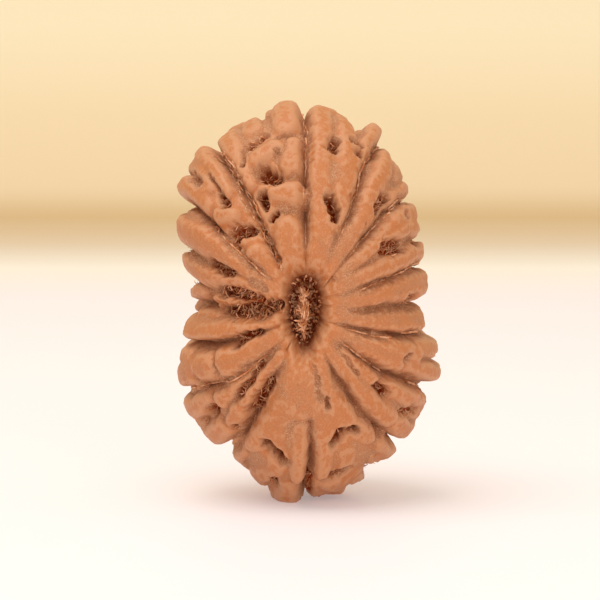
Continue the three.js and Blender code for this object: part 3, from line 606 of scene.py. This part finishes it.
skin_middle = (skin.min(axis=0) + skin.max(axis=0)) / 2
to_frame = np.array([-skin_middle[0], -skin_middle[1], FOOT_DROP])
skin = (skin + to_frame) * MM
skin_mesh.vertices.foreach_set("co", skin.ravel())
skin_mesh.update()

bead = bpy.data.objects.new("bead_stone", skin_mesh)
scene.collection.objects.link(bead)

thin = bead.modifiers.new("thin", "DECIMATE")
thin.ratio = SKIN_TRIANGLES / len(skin_mesh.polygons)
evaluated = bead.evaluated_get(bpy.context.evaluated_depsgraph_get())
thinned = bpy.data.meshes.new_from_object(evaluated)
bead.modifiers.clear()
bead.data = thinned
bead.data.shade_smooth()


def spread(values, ends, count):
    """Each point's mean over the points that an edge joins it to."""
    a, b = ends.T
    degree = np.bincount(ends.ravel(), minlength=count)
    total = [np.bincount(a, column[b], count) + np.bincount(b, column[a], count) for column in values.T]
    return np.stack(total, axis=1) / degree[:, None]


def swell(mesh, rounds):
    """How far each point stands over its surroundings, in millimetres: below 0 in a hollow."""
    points = vectors(mesh.vertices, "co")
    ends = np.empty(len(mesh.edges) * 2, dtype=np.int64)
    mesh.edges.foreach_get("vertices", ends)
    smoothed = points
    for _ in range(rounds):
        smoothed = spread(smoothed, ends.reshape(-1, 2), len(points))
    return ((points - smoothed) * vectors(mesh.vertex_normals, "vector")).sum(axis=1) / MM


def tree_of(points):
    """A tree that finds the nearest of the points."""
    tree = kdtree.KDTree(len(points))
    for i, point in enumerate(points):
        tree.insert(point, i)
    tree.balance()
    return tree


# what the material reads: how far inside a pit or mouth a point is, and how it swells, finely and broadly
FINE_ROUNDS = 3
BROAD_ROUNDS = 40

skin_tree = tree_of(skin)
nearest = [skin_tree.find(vertex.co)[1] for vertex in bead.data.vertices]
finish = {
    "pit": np.maximum(in_pit, in_mouth)[nearest],
    "edge": swell(bead.data, FINE_ROUNDS),
    "swell": swell(bead.data, BROAD_ROUNDS),
}
for name, values in finish.items():
    attribute = bead.data.attributes.new(name, "FLOAT", "POINT")
    attribute.data.foreach_set("value", values.astype(np.float32))

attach(bead, "root")
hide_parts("bead")

stone = bpy.data.materials.new("seed_stone")
stone.use_nodes = True
nodes = stone.node_tree.nodes
links = stone.node_tree.links
shader = nodes["Principled BSDF"]


def new_node(kind, **settings):
    node = nodes.new(kind)
    for name, value in settings.items():
        setattr(node, name, value)
    return node


def read(name):
    return new_node("ShaderNodeAttribute", attribute_name=name).outputs["Fac"]


def grain(size_mm, detail, roughness=0.55):
    """Noise with spots about size_mm across, from 0 to 1."""
    node = new_node("ShaderNodeTexNoise")
    node.inputs["Scale"].default_value = 1 / (size_mm * MM)
    node.inputs["Detail"].default_value = detail
    node.inputs["Roughness"].default_value = roughness
    links.new(object_place, node.inputs["Vector"])
    return node.outputs["Fac"]


def calculate(operation, a, b):
    node = new_node("ShaderNodeMath", operation=operation)
    for socket, value in zip(node.inputs, (a, b)):
        if isinstance(value, (int, float)):
            socket.default_value = value
        else:
            links.new(value, socket)
    return node.outputs[0]


def plus(a, b):
    return calculate("ADD", a, b)


def times(a, b):
    return calculate("MULTIPLY", a, b)


def ramp(value, low, high, to_low=0.0, to_high=1.0):
    """Smoothly from to_low, where the value is low, to to_high, where it is high."""
    node = new_node("ShaderNodeMapRange", interpolation_type="SMOOTHSTEP")
    links.new(value, node.inputs["Value"])
    for name, number in (("From Min", low), ("From Max", high), ("To Min", to_low), ("To Max", to_high)):
        node.inputs[name].default_value = number
    return node.outputs["Result"]


def tint(share, under, over):
    """The colour under, covered by the colour over as far as share says."""
    node = new_node("ShaderNodeMix", data_type="RGBA")
    links.new(share, node.inputs["Factor"])
    for socket, colour in ((node.inputs["A"], under), (node.inputs["B"], over)):
        if isinstance(colour, tuple):
            socket.default_value = (*colour, 1)
        else:
            links.new(colour, socket)
    return node.outputs["Result"]


FLANK = (0.49, 0.195, 0.083)
CREST = (0.52, 0.170, 0.047)
DUST = (0.64, 0.37, 0.21)
# painted shade, for the hollows between the ribs
GROOVE_SHADE = (0.34, 0.080, 0.014)
# partly the pits' own colour and partly painted shade
PIT = (0.26, 0.032, 0.002)

object_place = new_node("ShaderNodeTexCoord").outputs["Object"]
pit_value = read("pit")
edge_value = read("edge")
swell_value = read("swell")
cloud = grain(2.2, 2)
mottle = grain(0.45, 4, 0.65)
speck = grain(0.11, 2)

# orange on the rib tops, with cloudy borders, and a darker red brown painted as shade into the hollows
uneven = plus(swell_value, times(plus(cloud, -0.5), 0.45))
uneven = plus(uneven, times(plus(mottle, -0.5), 0.25))
crest_share = ramp(uneven, -0.10, 0.32)
colour = tint(crest_share, FLANK, CREST)
hollow_shade_share = ramp(swell_value, -0.12, -0.50)
colour = tint(times(hollow_shade_share, ramp(mottle, 0.30, 0.62, 0.65, 0.2)), colour, GROOVE_SHADE)

# pale dust in specks on the flanks, and on the sharp edges a pale line that is partly worn dust and partly a
# painted highlight
dust_share = times(ramp(speck, 0.46, 0.64), ramp(uneven, 0.20, -0.06, 0.2, 0.85))
colour = tint(dust_share, colour, DUST)
colour = tint(times(ramp(edge_value, 0.015, 0.06), 0.35), colour, DUST)

# dark red brown in the pits and mouths, partly their own colour and partly painted shade, strongest in the
# deepest pits
pit_share = times(ramp(pit_value, 0.3, 0.9), ramp(mottle, 0.62, 0.46, 0.25, 1.0))
colour = tint(pit_share, colour, PIT)
links.new(colour, shader.inputs["Base Color"])

# slightly waxy on the rib tops, dull on the flanks and almost without shine in the pits
links.new(ramp(crest_share, 0, 1, 0.75, 0.5), shader.inputs["Roughness"])
links.new(ramp(pit_value, 0.2, 0.8, 0.4, 0.05), shader.inputs["Specular IOR Level"])
shader.inputs["Subsurface Weight"].default_value = 0.18
shader.inputs["Subsurface Radius"].default_value = (1.0, 0.45, 0.2)
shader.inputs["Subsurface Scale"].default_value = 0.9 * MM

rough_ground = plus(speck, times(mottle, 2.0))
rough_ground = times(rough_ground, ramp(uneven, 0.24, 0.0, 0.25, 1.0))
bump = new_node("ShaderNodeBump")
bump.inputs["Strength"].default_value = 0.9
bump.inputs["Distance"].default_value = 0.11 * MM
links.new(rough_ground, bump.inputs["Height"])
links.new(bump.outputs["Normal"], shader.inputs["Normal"])

bead.data.materials.clear()
bead.data.materials.append(stone)

# Dried fibre
# What is left of the fruit's flesh, in the pits, mouths and seams. Each strand of the three pieces below is
# the same thin five-sided rod with closed ends, bent and tapered along its own path.

STRAND_SIDES = 5
STRAND_RINGS = 7
rng = np.random.default_rng(11)

rod_bm = bmesh.new()
bmesh.ops.create_cone(rod_bm, cap_ends=True, segments=STRAND_SIDES, radius1=1, radius2=1, depth=1)
upright = [e for e in rod_bm.edges if abs(e.verts[0].co.z - e.verts[1].co.z) > 0.5]
bmesh.ops.subdivide_edges(rod_bm, edges=upright, cuts=STRAND_RINGS - 2)
bmesh.ops.triangulate(rod_bm, faces=rod_bm.faces[:])
rod_mesh = bpy.data.meshes.new("strand")
rod_bm.to_mesh(rod_mesh)
rod_bm.free()
rod = np.array([vertex.co for vertex in rod_mesh.vertices])
rod_ring = np.round((rod[:, 2] + 0.5) * (STRAND_RINGS - 1)).astype(int)
rod_along = rod_ring / (STRAND_RINGS - 1)


def unit(vectors):
    return vectors / np.linalg.norm(vectors, axis=-1, keepdims=True)


def lay_strand(pile, path, radius):
    """Adds a strand along a path of points in millimetres, one for each ring, thinner toward both ends."""
    ahead = unit(path[-1] - path[0])
    aside = unit(np.cross(ahead, (0.31, 0.52, 0.79)))
    above = np.cross(ahead, aside)
    thick = radius * (1 - 0.7 * np.abs(2 * rod_along - 1) ** 3)
    placed = path[rod_ring] + thick[:, None] * (rod[:, :1] * aside + rod[:, 1:2] * above)
    rod_mesh.vertices.foreach_set("co", (placed * MM).ravel())
    pile.from_mesh(rod_mesh)


def bent_path(start, ahead, length, bend):
    """A path from a point, that turns aside in some direction as it goes."""
    t = np.linspace(0, 1, STRAND_RINGS)[:, None]
    aside = unit(np.cross(ahead, rng.normal(size=3)))
    return start + length * (t * ahead + bend * np.sin(2.4 * t) * aside)


def finish_pile(name, pile, material):
    mesh = bpy.data.meshes.new(name)
    pile.to_mesh(mesh)
    pile.free()
    mesh.shade_smooth()
    mesh.materials.append(material)
    piece = bpy.data.objects.new(name, mesh)
    scene.collection.objects.link(piece)
    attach(piece, "root")


PALE_FIBRE = (0.80, 0.44, 0.25)
BROWN_FIBRE = (0.55, 0.20, 0.075)

fibre = bpy.data.materials.new("dry_fibre")
fibre.use_nodes = True
nodes = fibre.node_tree.nodes
links = fibre.node_tree.links
shader = nodes["Principled BSDF"]
object_place = new_node("ShaderNodeTexCoord").outputs["Object"]
colour = tint(ramp(grain(0.5, 2), 0.40, 0.60), PALE_FIBRE, BROWN_FIBRE)
links.new(colour, shader.inputs["Base Color"])
shader.inputs["Roughness"].default_value = 0.8
shader.inputs["Specular IOR Level"].default_value = 0.1

skin_places = skin / MM
skin_ways = vectors(skin_mesh.vertex_normals, "vector")


def rooted(where, count):
    """Points of the skin that strands grow from, evenly spread over where the mask says."""
    chances = where * np.sin(np.radians(latitude))
    return rng.choice(len(skin), count, replace=False, p=chances / chances.sum())


# Pit fibres
# Thin frayed strands that grow from the walls and bottoms of the pits and cross them. None grows where the
# bead stands, so none reaches the table.

PIT_STRANDS = 2900
CLEAR_OF_TABLE = 2  # millimetres

pile = bmesh.new()
for i in rooted((in_pit > 0.35) & (in_mouth < 0.1) & (skin_places[:, 2] > CLEAR_OF_TABLE), PIT_STRANDS):
    ahead = unit(0.45 * skin_ways[i] + rng.normal(size=3) * 0.6)
    start = skin_places[i] - 0.05 * skin_ways[i]
    path = bent_path(start, ahead, rng.uniform(0.25, 0.8), rng.uniform(0.1, 0.4))
    lay_strand(pile, path, rng.uniform(0.025, 0.055))
finish_pile("pit_fibres", pile, fibre)

# Mouth fibres
# Each mouth holds an upright frayed column of pale strands, a little under the rim and thickest in its
# middle, and short thick crumbs of the same stuff stand on the walls round it.

COLUMN_STRANDS = {-1: 240, 1: 120}  # front mouth, back mouth
COLUMN_HALF_WIDTH = 0.32
COLUMN_HALF_HEIGHT = 1.57
COLUMN_MIDDLE = to_frame + np.array([-0.1, 0, -0.12])
COLUMN_RISE = 0.4  # how far its front stands over the valley floor at the mouth
COLUMN_THICKNESS = 1.7
MOUTH_CRUMBS = 520

pile = bmesh.new()
for side, strands in COLUMN_STRANDS.items():
    for _ in range(strands):
        along = rng.uniform(-1, 1)
        fullness = 1 - along**2
        across = rng.normal() * 0.55 * COLUMN_HALF_WIDTH * fullness
        deep = rng.uniform(0, COLUMN_THICKNESS) ** 1.3 + 2.2 * across**2 + 0.3 * (1 - fullness)
        spot = np.array([across, side * (HALF_DEPTH + COLUMN_RISE - deep), along * COLUMN_HALF_HEIGHT])
        ahead = unit(np.array([0.3, 0.3, 1]) * rng.normal(size=3) + np.array([0, 0, 0.6]))
        path = bent_path(COLUMN_MIDDLE + spot, ahead, rng.uniform(0.3, 0.9), rng.uniform(0.05, 0.3))
        lay_strand(pile, path, rng.uniform(0.04, 0.085))
for i in rooted(in_mouth > 0.5, MOUTH_CRUMBS):
    ahead = unit(0.7 * skin_ways[i] + rng.normal(size=3) * 0.6)
    path = bent_path(skin_places[i], ahead, rng.uniform(0.15, 0.4), rng.uniform(0.3, 0.7))
    lay_strand(pile, path, rng.uniform(0.05, 0.11))
finish_pile("mouth_fibres", pile, fibre)

# Seam threads
# A pale thread of fibre lies along the bottom of half of the seams, broken into pieces. The seam to the left
# of the top is a whole band of them.

THREADED_SEAMS = (0, 1, 2, 3, 5, 6, 10, 14)
THREAD_START = 4  # degrees of latitude after the start of its seam
THREAD_END = 150  # latitude
BANDED_SEAM = 15
BAND_STRANDS = 260
BAND_START = 14  # latitude
BAND_END = 70
BAND_SPREAD = 1.0  # degrees of bearing

floor_tree = tree_of(floor)


def seam_places(seam, latitudes, aside, above):
    """Points on the skin along a seam: aside is in degrees of bearing and above in millimetres."""
    bottom = floor_points(seam_bearing(seam, latitudes) + aside, latitudes)
    index = [floor_tree.find(point)[1] for point in bottom]
    return skin_places[index] + way[index] * above


pile = bmesh.new()
for seam in THREADED_SEAMS:
    at = SEAMS[seam][3] + THREAD_START
    while at < THREAD_END:
        long = rng.uniform(5, 16)
        latitudes = np.linspace(at, at + long, STRAND_RINGS)
        path = seam_places(seam, latitudes, rng.uniform(-0.5, 0.5), rng.uniform(0.05, 0.2))
        path += rng.normal(size=path.shape) * 0.03
        lay_strand(pile, path, rng.uniform(0.06, 0.11))
        at += long * rng.uniform(0.5, 1.2)
for _ in range(BAND_STRANDS):
    at = rng.uniform(BAND_START, BAND_END)
    latitudes = np.linspace(at, at + rng.uniform(2, 7), STRAND_RINGS)
    path = seam_places(BANDED_SEAM, latitudes, rng.normal() * BAND_SPREAD, rng.uniform(-0.02, 0.12))
    path += np.cumsum(rng.normal(size=path.shape), axis=0) * 0.04
    lay_strand(pile, path, rng.uniform(0.03, 0.06))
finish_pile("seam_threads", pile, fibre)
